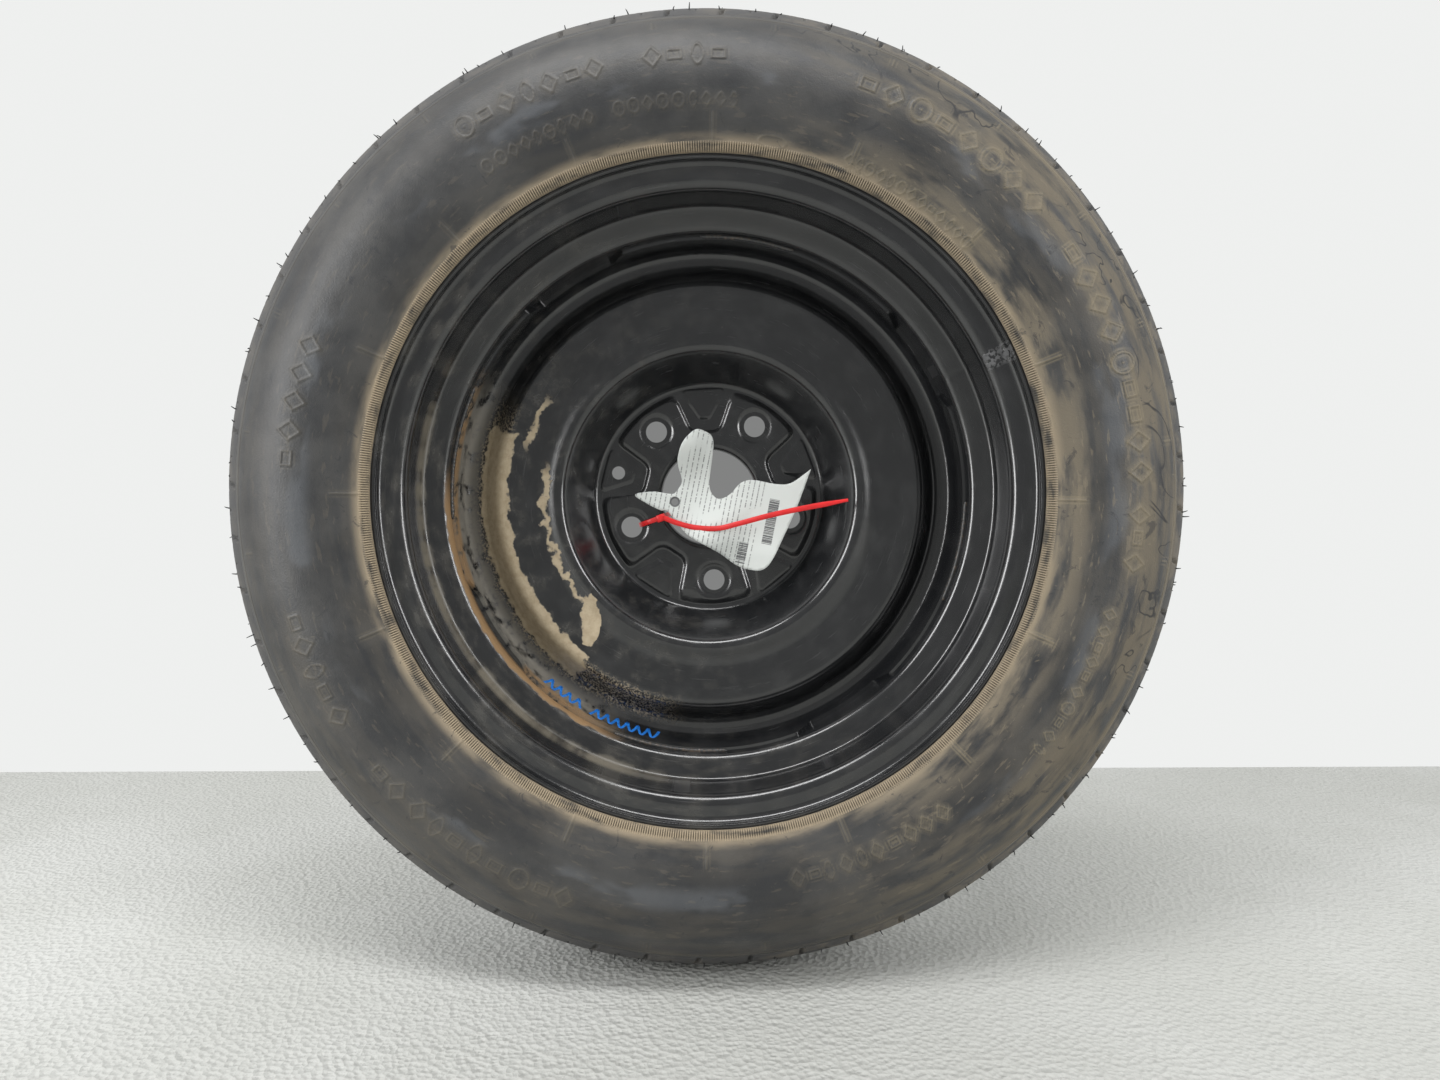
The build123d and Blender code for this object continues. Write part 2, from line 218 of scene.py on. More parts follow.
# --- materials
class Net:
    """A principled material and short ways to write its nodes. A value may be a number, a colour or a socket."""

    def __init__(self, name, **shader):
        self.material = bpy.data.materials.new(name)
        self.material.use_nodes = True
        self.tree = self.material.node_tree
        self.shader = self.tree.nodes["Principled BSDF"]
        self.coordinates = self.tree.nodes.new("ShaderNodeTexCoord").outputs
        self.place = self.node("VectorMath", [self.coordinates["Object"]], operation="SCALE", scale=1 / MM)
        self.x, self.y, self.z = self.node("SeparateXYZ", [self.place], outputs=3)
        self.r = self.math("SQRT", self.math("ADD", self.times(self.x, self.x), self.times(self.z, self.z)))
        for key, value in shader.items():
            self.set(key.replace("_", " ").title().replace("Ior", "IOR"), value)

    def node(self, kind, values=(), outputs=1, scale=None, **settings):
        made = self.tree.nodes.new("ShaderNode" + kind)
        for key, value in settings.items():
            setattr(made, key, value)
        for socket, value in zip(made.inputs, values):
            self.put(socket, value)
        if scale is not None:
            made.inputs["Scale"].default_value = scale
        found = [s for s in made.outputs if s.enabled]
        return found[0] if outputs == 1 else found[:outputs]

    def put(self, socket, value):
        if isinstance(value, bpy.types.NodeSocket):
            self.tree.links.new(value, socket)
        elif isinstance(value, tuple) and len(value) == 3 and socket.type == "RGBA":
            socket.default_value = (*value, 1)
        else:
            socket.default_value = value

    def set(self, name, value):
        self.put(self.shader.inputs[name], value)

    def math(self, operation, a, b=0.0, clamp=False):
        return self.node("Math", [a, b], operation=operation, use_clamp=clamp)

    def times(self, *values):
        product = values[0]
        for value in values[1:]:
            product = self.math("MULTIPLY", product, value)
        return product

    def most(self, *values):
        result = values[0]
        for value in values[1:]:
            result = self.math("MAXIMUM", result, value)
        return result

    def step(self, value, low, high, to_low=0.0, to_high=1.0):
        """A soft step from one value to another."""
        return self.node(
            "MapRange", [value, low, high, to_low, to_high], interpolation_type="SMOOTHSTEP"
        )

    def band(self, value, low, high, soft):
        """1 between low and high, 0 outside, with soft edges."""
        rise = self.step(value, low - soft, low + soft)
        fall = self.step(value, high - soft, high + soft, 1.0, 0.0)
        return self.times(rise, fall)

    def sector(self, low_deg, high_deg, soft_deg):
        """1 between two angles about the wheel's axis."""
        middle, half = math.radians((low_deg + high_deg) / 2), (high_deg - low_deg) / 2
        along = self.math(
            "ADD", self.times(self.x, math.cos(middle)), self.times(self.z, math.sin(middle))
        )
        cosine = self.math("DIVIDE", along, self.r)
        outer = math.cos(math.radians(min(half + soft_deg, 179.0)))
        inner = math.cos(math.radians(max(half - soft_deg, 0.0)))
        return self.step(cosine, outer, inner)

    def faces_inboard(self):
        """1 where the surface faces the inboard side or straight out from the axis, 0 where it faces outboard."""
        toward = self.node("SeparateXYZ", [self.coordinates["Normal"]], outputs=3)[1]
        return self.step(toward, 0.14, 0.04)

    def noise(self, size, detail=3.0, rough=0.55, distortion=0.0):
        """Noise from 0 to 1 whose blotches are about this many millimetres across."""
        return self.node("TexNoise", [self.place, 0.0, 1 / size, detail, rough, 2.0, 0.0, 1.0, distortion])

    def swirl(self, round_size, radial_size, detail=3.0):
        """Noise drawn out around the wheel's axis."""
        angle = self.math("ARCTAN2", self.z, self.x)
        arc = self.times(self.math("SINE", angle), 262.0)
        arc_b = self.times(self.math("COSINE", angle), 262.0)
        place = self.node(
            "CombineXYZ",
            [self.times(arc, 1 / round_size), self.times(arc_b, 1 / round_size), self.times(self.r, 1 / radial_size)],
        )
        return self.node("TexNoise", [place, 0.0, 1.0, detail, 0.55])

    def painted(self, name):
        """A value stored on the mesh's vertices."""
        made = self.tree.nodes.new("ShaderNodeAttribute")
        made.attribute_name = name
        return made.outputs["Fac"]

    def coats(self, colour, *layers):
        """A colour under layers laid over one another: how much each covers, and its colour."""
        for cover, tint in layers:
            colour = self.mix(cover, colour, tint)
        return colour

    def mix(self, factor, a, b):
        made = self.tree.nodes.new("ShaderNodeMix")
        made.data_type = "RGBA"
        self.put(made.inputs[0], factor)
        self.put(made.inputs[6], a)
        self.put(made.inputs[7], b)
        return made.outputs[2]

    def blend(self, factor, a, b):
        """A number that goes from a to b."""
        return self.node("MapRange", [factor, 0.0, 1.0, a, b])

    def bump(self, height, depth_mm, strength=1.0):
        made = self.tree.nodes.new("ShaderNodeBump")
        made.inputs["Distance"].default_value = depth_mm * MM
        made.inputs["Strength"].default_value = strength
        self.put(made.inputs["Height"], height)
        self.set("Normal", made.outputs["Normal"])


TAN_DUST = (0.33, 0.265, 0.18)
PALE_MUD = (0.47, 0.385, 0.26)
RUST_MUD = (0.23, 0.135, 0.055)
GREY_DUST = (0.20, 0.185, 0.155)


def sidewall_rubber(name):
    net = Net(name)
    fine, broad = net.noise(1.2, 2.0), net.noise(48.0, 5.0, 0.6)
    smear = net.swirl(45.0, 9.0, 5.0)
    cracks = net.swirl(14.0, 3.0, 6.0)
    stains = net.noise(16.0, 6.0, 0.7, distortion=1.5)
    colour = net.mix(net.step(broad, 0.36, 0.66), (0.021, 0.022, 0.024), (0.045, 0.045, 0.045))
    # Brown road dust, heaviest on the right, above and below the bulge.
    dirty = net.most(net.sector(-62.0, 62.0, 24.0), net.times(net.sector(195.0, 290.0, 30.0), 0.16))
    off_bulge = net.math("SUBTRACT", 1.0, net.times(net.band(net.r, 245.0, 273.0, 9.0), 0.8))
    dust = net.times(net.step(smear, 0.34, 0.62), net.blend(dirty, 0.08, 0.85), off_bulge)
    colour = net.mix(dust, colour, (0.150, 0.126, 0.090))
    # A painted bluish sheen in patches along the bulge: a painted highlight where the widest part of the sidewall
    # catches the light.
    bulge_sheen = net.times(net.band(net.r, 257.0, 271.0, 5.0), net.step(net.swirl(70.0, 30.0, 3.0), 0.50, 0.62))
    colour = net.mix(net.times(bulge_sheen, 0.28), colour, (0.150, 0.162, 0.180))
    # Pale dust that has washed down to the bead.
    bead = net.times(net.band(net.r, 200.0, 229.0, 4.0), net.step(smear, 0.25, 0.6))
    bead = net.times(bead, net.blend(net.sector(140.0, 260.0, 60.0), 0.62, 0.9))
    colour = net.mix(bead, colour, TAN_DUST)
    streaks = net.times(net.step(cracks, 0.60, 0.66), net.band(net.r, 225.0, 300.0, 8.0), 0.40)
    colour = net.mix(net.times(streaks, net.blend(dirty, 0.25, 0.9)), colour, (0.20, 0.165, 0.115))
    colour = net.mix(net.times(net.step(stains, 0.60, 0.66), 0.6), colour, (0.020, 0.021, 0.025))
    smudges = net.times(net.step(stains, 0.36, 0.30), net.blend(dirty, 0.15, 0.8))
    colour = net.mix(net.times(smudges, 0.6), colour, (0.20, 0.165, 0.11))
    # Thin black runs near the shoulder on the upper right.
    run = net.band(net.noise(60.0, 3.0, 0.5, distortion=0.8), 0.494, 0.506, 0.005)
    run = net.times(run, net.band(net.r, 286.0, 308.0, 3.0), net.sector(-25.0, 82.0, 6.0))
    colour = net.mix(net.times(run, 0.9), colour, (0.010, 0.011, 0.014))
    # Dust on the raised lines.
    colour = net.mix(net.times(net.painted("raised"), net.blend(dirty, 0.12, 0.55)), colour, (0.21, 0.175, 0.115))
    net.set("Base Color", colour)
    net.set("Roughness", net.blend(net.most(dust, bead), 0.46, 0.80))
    net.bump(net.math("ADD", net.math("ADD", fine, net.times(smear, 0.6)), net.times(stains, 1.5)), 0.2, 0.7)
    return net.material


def tread_rubber():
    net = Net("tread_rubber")
    grain, patches = net.noise(1.5, 3.0), net.noise(25.0, 5.0, 0.65)
    colour = net.mix(net.step(patches, 0.35, 0.7), (0.048, 0.048, 0.049), (0.085, 0.080, 0.073))
    dusty = net.times(net.step(patches, 0.45, 0.62), net.sector(-80.0, 70.0, 30.0), 0.6)
    net.set("Base Color", net.mix(dusty, colour, (0.16, 0.135, 0.10)))
    net.set("Roughness", net.blend(patches, 0.55, 0.82))
    net.bump(grain, 0.15, 0.5)
    return net.material


def strip_rubber():
    net = Net("strip_rubber")
    patches = net.swirl(30.0, 6.0, 4.0)
    dirty = net.times(net.step(patches, 0.28, 0.52), net.blend(net.sector(110.0, 290.0, 60.0), 0.80, 1.0))
    colour = net.mix(dirty, (0.060, 0.056, 0.050), TAN_DUST)
    # The grooves between the ribs are painted darker: painted shade in the grooves.
    net.set("Base Color", net.mix(net.times(net.painted("between"), 0.7), colour, (0.030, 0.026, 0.020)))
    net.set("Roughness", 0.8)
    net.bump(net.noise(0.8, 2.0), 0.08, 0.6)
    return net.material


def black_paint(name):
    """Black gloss paint with scuffs, and the net it is made in, so that dirt can be laid over it."""
    net = Net(name, ior=1.5, specular_ior_level=0.85)
    haze, scratches = net.swirl(40.0, 12.0, 4.0), net.swirl(60.0, 1.2, 4.0)
    specks = net.step(net.noise(2.2, 3.0, 0.7), 0.70, 0.76)
    colour = net.mix(net.step(haze, 0.4, 0.8), (0.009, 0.0095, 0.0105), (0.020, 0.0205, 0.0215))
    colour = net.mix(net.times(specks, 0.5), colour, (0.10, 0.092, 0.078))
    marks = net.step(scratches, 0.64, 0.70)
    colour = net.mix(net.times(marks, 0.22), colour, (0.07, 0.07, 0.072))
    rough = net.math("ADD", net.blend(haze, 0.12, 0.27), net.times(marks, 0.12))
    orange_peel = net.noise(3.0, 2.0)
    return net, colour, rough, orange_peel


def rim_paint():
    net, colour, rough, peel = black_paint("rim_paint")
    patch = net.swirl(26.0, 8.0, 5.0)
    edge = net.math("ADD", net.r, net.times(net.math("SUBTRACT", patch, 0.5), 7.0))
    inboard = net.step(net.y, 2.0, -6.0)
    # Dried dust lying on the bead seat, on the lower left.
    seat = net.times(net.band(edge, 197.5, 204.0, 1.6), net.band(net.y, -30.0, -16.0, 5.0))
    seat = net.times(seat, net.sector(160.0, 256.0, 14.0), net.step(patch, 0.30, 0.58), 0.75)
    # Orange mud caught where the disc's skirt meets the well.
    groove = net.times(net.band(edge, 181.0, 185.0, 0.6), net.sector(178.0, 246.0, 6.0))
    groove = net.times(groove, net.step(patch, 0.26, 0.42), inboard)
    film = net.times(net.sector(110.0, 290.0, 60.0), net.step(patch, 0.42, 0.8), inboard, 0.22)
    # A scuff where the rolled ring is welded shut.
    scuff = net.times(net.band(net.r, 202.0, 219.0, 1.0), net.sector(24.5, 27.5, 0.5))
    scuff = net.times(scuff, net.step(peel, 0.45, 0.55), inboard)
    worn = net.times(scuff, 0.5)
    layers = (film, GREY_DUST), (seat, (0.21, 0.185, 0.140)), (groove, RUST_MUD), (worn, (0.14, 0.14, 0.145))
    net.set("Base Color", net.coats(colour, *layers))
    dirt = net.most(seat, groove, film, scuff)
    net.set("Roughness", net.math("ADD", rough, net.times(dirt, 0.6), clamp=True))
    net.bump(net.math("ADD", net.times(peel, 0.15), net.times(dirt, patch, 2.0)), 0.25, 0.35)
    return net.material


def disc_paint():
    net, colour, rough, peel = black_paint("disc_paint")
    edge_noise = net.math("SUBTRACT", net.noise(11.0, 6.0, 0.62), 0.5)
    radius = net.math("ADD", net.r, net.times(edge_noise, 13.0))
    inboard = net.times(net.step(net.y, 46.0, 40.0), net.faces_inboard())
    speckle = net.step(net.noise(1.6, 3.0, 0.75), 0.50, 0.56)
    ends = net.math("ADD", net.sector(163.0, 232.5, 6.0), net.times(edge_noise, 1.1))
    ragged = net.step(ends, 0.42, 0.55)
    # The dried mud patch on the broad face, with a speckled tail at its lower end.
    patch = net.times(net.band(radius, 145.5, 168.0, 0.7), ragged)
    tail = net.times(net.band(radius, 150.0, 171.0, 4.0), net.sector(160.0, 256.0, 9.0), speckle)
    # The rim of a dried puddle, further in.
    rim_r = net.math("ADD", net.r, net.times(edge_noise, 22.0))
    outline = net.most(
        net.times(net.band(rim_r, 134.0, 138.0, 1.0), net.sector(150.0, 164.0, 3.0)),
        net.times(net.band(rim_r, 117.5, 121.5, 1.0), net.sector(170.0, 226.0, 3.0)),
    )
    drop_x = net.times(net.math("ADD", net.x, 87.0), 1 / 7.5)
    drop_z = net.times(net.math("ADD", net.z, 90.0), 1 / 20.0)
    drop = net.math("ADD", net.times(drop_x, drop_x), net.times(drop_z, drop_z))
    blob = net.step(net.math("ADD", drop, net.times(edge_noise, 2.6)), 1.05, 0.92)
    skirt = net.times(
        net.band(net.r, 172.0, 184.0, 3.0), net.sector(156.0, 244.0, 8.0), net.step(edge_noise, -0.16, 0.02)
    )
    skirt_rust = net.times(skirt, net.band(net.y, -8.0, 4.0, 4.0))
    film = net.times(net.sector(120.0, 260.0, 50.0), net.step(edge_noise, -0.05, 0.25), 0.16)
    grease = net.times(net.band(radius, 52.0, 84.0, 5.0), net.sector(206.0, 242.0, 8.0))
    grease = net.times(grease, net.step(net.noise(6.0, 5.0, 0.7), 0.50, 0.58))
    colour = net.mix(net.times(film, inboard), colour, GREY_DUST)
    colour = net.mix(net.times(skirt, 0.75, inboard), colour, GREY_DUST)
    colour = net.mix(net.times(skirt_rust, 0.9, inboard), colour, RUST_MUD)
    mud = net.times(net.most(patch, net.times(tail, 0.8), outline, blob), inboard)
    mottled = net.mix(net.step(net.noise(5.0, 5.0, 0.7), 0.35, 0.7), PALE_MUD, (0.36, 0.285, 0.18))
    colour = net.mix(net.times(mud, 0.93), colour, mottled)
    colour = net.mix(net.times(grease, inboard), colour, (0.002, 0.002, 0.002))
    net.set("Base Color", colour)
    dirt = net.most(mud, net.times(net.most(skirt, film), inboard))
    net.set("Roughness", net.math("ADD", rough, net.times(dirt, 0.6), clamp=True))
    relief = net.math("ADD", net.times(peel, 0.12), net.times(mud, net.blend(speckle, 0.8, 1.2)))
    net.bump(relief, 0.35, 0.5)
    return net.material


def plain(name, colour, roughness, metallic=0.0, grain=1.0, depth=0.05, spread=0.25):
    """A moulded, turned or drawn surface: one colour that varies a little, with a fine grain."""
    net = Net(name)
    cloud = net.noise(6.0 * grain, 4.0)
    dark = tuple(c * (1 - spread) for c in colour)
    light = tuple(min(1.0, c * (1 + spread)) for c in colour)
    net.set("Base Color", net.mix(net.step(cloud, 0.3, 0.7), dark, light))
    net.set("Roughness", net.blend(cloud, max(0.05, roughness - 0.08), min(1.0, roughness + 0.1)))
    net.set("Metallic", metallic)
    net.bump(net.noise(grain, 2.0), depth, 0.5)
    return net.material


LINE_PITCH = 3.7
EYELET = (-25.8, -3.7)


def paper_white():
    """A printed paper tag: rows of grey dashes and two blocks of bars, none of them letters."""
    net = Net("tag_paper")
    along = net.math("ADD", net.times(net.x, 0.20), net.times(net.z, 0.98))
    across = net.math("SUBTRACT", net.times(net.x, 0.98), net.times(net.z, 0.20))
    lines = net.band(net.math("FRACT", net.times(across, 1 / LINE_PITCH)), 0.30, 0.52, 0.05)
    row = net.math("FLOOR", net.times(across, 1 / LINE_PITCH))
    words = net.node("TexNoise", [net.node("CombineXYZ", [net.times(along, 0.45), row, 0.0]), 0.0, 1.0, 4.0, 0.8])
    printed = net.times(net.step(net.noise(30.0, 2.0), 0.36, 0.42), net.step(across, 40.0, 38.0))
    text = net.times(lines, net.step(words, 0.46, 0.50), printed)
    stripes = net.node("CombineXYZ", [along, 3.0, 0.0])
    bars = net.node("TexNoise", [stripes, 0.0, 1.7, 1.0, 0.5])
    bars = net.step(bars, 0.42, 0.46)
    block = net.times(net.band(across, 44.5, 52.0, 0.2), net.band(along, -26.0, 8.0, 0.2))
    block_b = net.times(net.band(across, 28.5, 35.5, 0.2), net.band(along, -44.0, -28.0, 0.2))
    ink = net.math("MAXIMUM", net.times(text, 0.72), net.times(net.most(block, block_b), bars, 0.9))
    eye_x, eye_z = net.math("ADD", net.x, -EYELET[0]), net.math("ADD", net.z, -EYELET[1])
    from_eye = net.math("SQRT", net.math("ADD", net.times(eye_x, eye_x), net.times(eye_z, eye_z)))
    ink = net.most(ink, net.times(net.step(from_eye, 4.1, 3.7), 0.9))
    net.set("Base Color", net.mix(ink, (0.58, 0.605, 0.585), (0.05, 0.05, 0.055)))
    net.set("Roughness", 0.55)
    net.bump(net.noise(1.5, 3.0), 0.03, 0.4)
    return net.material


# --- closed pieces
def triangles(quads):
    quads = np.asarray(quads)
    return np.concatenate([quads[:, [0, 1, 2]], quads[:, [0, 2, 3]]])


def swept(loops):
    """A closed mesh through cross-sections, an array (sections, points, 3), with a flat end at each end."""
    count, points = loops.shape[:2]
    verts = np.concatenate([loops.reshape(-1, 3), [loops[0].mean(0)], [loops[-1].mean(0)]])
    faces = [triangles(ring_quads(count, points, close_rows=False))]
    around = np.arange(points)
    following = (around + 1) % points
    faces.append(np.stack([following, around, np.full(points, count * points)], -1))
    last = (count - 1) * points
    faces.append(np.stack([last + around, last + following, np.full(points, count * points + 1)], -1))
    faces = np.concatenate(faces)
    return verts, turned_out(verts, faces)


def joined(pieces):
    """Several (vertices, faces) as one."""
    verts, faces, start = [], [], 0
    for piece_verts, piece_faces in pieces:
        verts.append(piece_verts)
        faces.append(piece_faces + start)
        start += len(piece_verts)
    return np.concatenate(verts), np.concatenate(faces)


def frames(path, width_way):
    """Unit vectors along a path of points, across it towards width_way, and at right angles to both."""
    along = unit(np.gradient(path, axis=0))
    width_way = np.broadcast_to(np.asarray(width_way, float), path.shape)
    across = unit(width_way - along * np.einsum("ij,ij->i", along, width_way)[:, None])
    return along, across, np.cross(along, across)


def strap(path, width, thickness, width_way, edge=0.25):
    """A flat strap with eased edges. Width and thickness are numbers or arrays along the path."""
    _, across, up = frames(path, width_way)
    w = np.broadcast_to(np.asarray(width, float), len(path))[:, None, None] / 2
    t = np.broadcast_to(np.asarray(thickness, float), len(path))[:, None, None] / 2
    e = np.minimum(edge, np.minimum(w, t) * 0.6)
    corners = [(1, 1, 0, 1), (1, 1, 1, 0), (-1, 1, 1, 0), (-1, 1, 0, 1)]
    corners += [(-1, -1, 0, 1), (-1, -1, 1, 0), (1, -1, 1, 0), (1, -1, 0, 1)]
    loops = [
        path[:, None] + across[:, None] * (w - e * ew) * sw + up[:, None] * (t - e * et) * st
        for sw, st, ew, et in corners
    ]
    return swept(np.concatenate(loops, 1))


def curve_through(points, step):
    """Points at even steps on a smooth curve through the given ones."""
    p = np.array(points, float)
    p = np.concatenate([[2 * p[0] - p[1]], p, [2 * p[-1] - p[-2]]])
    out = []
    for a, b, c, d in zip(p, p[1:], p[2:], p[3:]):
        for t in np.linspace(0, 1, 24, endpoint=False):
            out.append(
                0.5 * (2 * b + (c - a) * t + (2 * a - 5 * b + 4 * c - d) * t**2 + (3 * b - a - 3 * c + d) * t**3)
            )
    out = np.array(out + [p[-2]])
    length = np.concatenate([[0], np.cumsum(np.linalg.norm(np.diff(out, axis=0), axis=1))])
    wanted = np.linspace(0, length[-1], max(3, round(length[-1] / step)))
    return np.stack([np.interp(wanted, length, out[:, k]) for k in range(out.shape[1])], -1)


def thickened(verts, faces, thickness):
    """A sheet given its thickness on both sides, with its edges closed. The faces are triangles."""
    p = verts[faces]
    normals = np.zeros_like(verts)
    flat = np.cross(p[:, 1] - p[:, 0], p[:, 2] - p[:, 0])
    for k in range(3):
        np.add.at(normals, faces[:, k], flat)
    normals = unit(normals)
    half = np.asarray(thickness) / 2
    count = len(verts)
    both = np.concatenate([verts + normals * half, verts - normals * half])
    edges = np.concatenate([faces[:, [0, 1]], faces[:, [1, 2]], faces[:, [2, 0]]])
    key = np.sort(edges, 1)
    _, first, uses = np.unique(key, axis=0, return_index=True, return_counts=True)
    rim = edges[first[uses == 1]]
    sides = triangles(np.stack([rim[:, 0], rim[:, 0] + count, rim[:, 1] + count, rim[:, 1]], -1))
    closed = np.concatenate([faces, faces[:, ::-1] + count, sides])
    return both, turned_out(both, closed)


def merged(verts, faces, reach=1e-4):
    """The mesh with vertices that share a place made one, and no collapsed faces."""
    keys = np.round(verts / reach).astype(np.int64)
    _, first, where = np.unique(keys, axis=0, return_index=True, return_inverse=True)
    faces = where.reshape(-1)[faces]
    whole = (faces[:, 0] != faces[:, 1]) & (faces[:, 1] != faces[:, 2]) & (faces[:, 2] != faces[:, 0])
    return verts[first], faces[whole]


def polygon_distance(x, z, corners):
    """The signed distance to a polygon, negative inside it."""
    corners = np.array(corners, float)
    best = np.full(np.shape(x), 1e9)
    inside = np.zeros(np.shape(x), bool)
    for a, b in zip(corners, np.roll(corners, -1, axis=0)):
        ex, ez = b - a
        wx, wz = x - a[0], z - a[1]
        t = np.clip((wx * ex + wz * ez) / (ex * ex + ez * ez), 0, 1)
        best = np.minimum(best, np.hypot(wx - ex * t, wz - ez * t))
        crosses = ((a[1] <= z) & (b[1] > z)) | ((b[1] <= z) & (a[1] > z))
        side = (wx * ez - wz * ex) * (1 if ez > 0 else -1)
        inside ^= crosses & (side < 0)
    return np.where(inside, -best, best)


def soft_max(a, b, k):
    h = np.clip(0.5 + (a - b) / (2 * k), 0, 1)
    return b + (a - b) * h + k * h * (1 - h)


def soft_min(a, b, k):
    return -soft_max(-a, -b, k)


def stands_for(obj, slot, *nodes, body="root"):
    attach(obj, body)
    if nodes:
        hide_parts(*nodes)
    return obj


# --- tyre: sidewalls
def sidewall_profile(rows):
    """Radius, distance along the axis and outward direction on the outer surface, from the bead to the mould line."""
    upper_r, lower_r = 64.5, 81.4
    upper_y, lower_y = TYRE_HALF_W - upper_r, TYRE_HALF_W - lower_r
    foot = math.acos((STRIP_TOP_R - 0.2 - WIDEST_R) / lower_r)
    top = math.acos((SHOULDER_R - WIDEST_R) / upper_r)
    lower_len, upper_len = lower_r * (foot - math.pi / 2), upper_r * (math.pi / 2 - top)
    s = np.linspace(0, lower_len + upper_len, rows)
    a = np.where(s < lower_len, foot - s / lower_r, math.pi / 2 - (s - lower_len) / upper_r)
    size = np.where(s < lower_len, lower_r, upper_r)
    centre_y = np.where(s < lower_len, lower_y, upper_y)
    return WIDEST_R + size * np.cos(a), centre_y + size * np.sin(a), np.cos(a), np.sin(a)


def marks(r, theta, low_deg, high_deg, radius, height, gap, seed, depth):
    """A row of raised plain shapes between two angles: dotted rings, diamonds, lenses and low boxes."""
    own = random.Random(seed)
    relief = np.zeros(np.broadcast(r, theta).shape)
    span = math.radians(high_deg - low_deg) * radius
    at = 0.0
    while at < span - height * 0.4:
        kind = own.choice(("ring", "diamond", "lens", "diamond", "box"))
        wide = height * {"ring": 0.85, "box": 0.6, "diamond": 0.8, "lens": 0.6}[kind]
        u = from_angle(theta, low_deg + math.degrees((at + wide / 2) / radius)) * radius
        v = r - radius
        near = (np.abs(u) < wide) & (np.abs(v) < height)
        hw, hh = wide / 2, height / 2
        if kind == "ring":
            out = np.hypot(u / hw, v / hh)
            d = np.minimum(np.abs(out - 1), out) * min(hw, hh)
        elif kind == "box":
            d = np.abs(np.maximum(np.abs(u) - hw, np.abs(v) - hh * 0.45))
        elif kind == "diamond":
            d = np.abs(np.abs(u) / hw + np.abs(v) / hh - 1) * hw * 0.7
        else:
            d = np.abs(np.abs(v) - (hh - u * u * hh / hw**2)) * 0.6
        relief = np.maximum(relief, np.where(near, ridge(d, 0.45 + height * 0.03), 0) * depth)
        at += wide + height * gap * own.uniform(0.8, 1.25)
    return relief * 0.94


def sidewall_relief(r, theta, inboard):
    relief = np.zeros(np.broadcast(r, theta).shape)
    for k in range(16):
        line = from_angle(theta, 179.5 + 22.5 * k) * r
        relief = np.maximum(relief, ridge(line, 0.9) * 0.5 * smooth(224.5, 226, r) * smooth(243.6, 242.4, r))
        relief -= ridge(np.hypot(line, r - 244.5), 1.3) * 0.5
    for k in range(24):
        low = 298.5 + 1.5 * (k % 2)
        line = from_angle(theta, 7.0 + 15.0 * k) * r
        relief = np.maximum(relief, ridge(line, 0.7) * 0.45 * smooth(low, low + 0.7, r) * smooth(306.5, 305.8, r))
    relief = np.maximum(relief, ridge(r - 309.6, 0.8) * 0.35)
    relief = np.maximum(relief, ridge(r - 226.2, 0.6) * 0.3)
    rows = [
        (2, 36, 278.5, 16, 0.42, 3, 0.62),
        (41, 70, 278.5, 16, 0.40, 8, 0.62),
        (88, 101, 278.5, 14, 0.38, 5, 0.55),
        (104, 125, 278.5, 14, 0.36, 12, 0.55),
        (158, 178, 270, 15, 0.40, 21, 0.5),
        (196, 214, 278, 15, 0.40, 33, 0.38),
        (219, 250, 278, 15, 0.38, 35, 0.38),
        (282, 307, 255, 11, 0.34, 40, 0.6),
        (350, 360, 278, 14, 0.4, 51, 0.5),
        (86, 105, 249.7, 8, 0.34, 60, 0.5),
        (107, 126, 249.7, 8, 0.34, 61, 0.5),
        (44, 68, 231.5, 7, 0.34, 70, 0.55),
        (322, 344, 270, 9, 0.5, 80, 0.4),
    ]
    for low, high, radius, height, gap, seed, depth in rows:
        relief = np.maximum(relief, marks(r, theta, low, high, radius, height, gap, seed + (not inboard), depth))
    u = from_angle(theta, 80.0) * 227.5
    badge = (np.hypot(u / 8.5, (r - 229.0) / 3.4) - 1) * 3.4
    return np.maximum(relief, ridge(badge, 0.6) * 0.5)


def smoothed(field):
    """The field averaged over its neighbours around the wheel and across it."""
    for axis in (0, 1):
        field = (np.roll(field, 3, axis) + np.roll(field, -3, axis) + field) / 3
    return field


def make_sidewall(side):
    inboard = side < 0
    name = "inboard" if inboard else "outboard"
    rows, columns = (148, 2240) if inboard else (100, 1440)
    theta = angles(columns)[None]
    r, y, nr, ny = (value[:, None] for value in sidewall_profile(rows))
    lift = sidewall_relief(r, theta, inboard)
    lift = lift + 0.12 * np.sin(theta * 3 + r / 9) * smooth(228, 250, r) * smooth(306, 290, r)
    outer_r, outer_y = r + nr * lift, y + ny * lift
    back = slice(rows - 1, None, -9)
    inner_r = (r - nr * 4.5)[back] * np.ones_like(theta)
    inner_y = (y - ny * 4.5)[back] * np.ones_like(theta)
    material = sidewall_rubber(f"sidewall_rubber_{name}")
    obj = ring_mesh(
        f"sidewall_{name}_moulded",
        np.concatenate([outer_r, inner_r]),
        np.concatenate([outer_y, inner_y]) * side,
        theta,
        material,
    )
    raised = np.zeros((len(outer_r) + len(inner_r), columns))
    raised[: len(outer_r)] = np.clip(np.abs(lift - smoothed(lift)) * 5, 0, 1)
    paint_value(obj, "raised", raised)
    stands_for(obj, "sidewall_rubber", f"sidewall_{name}")


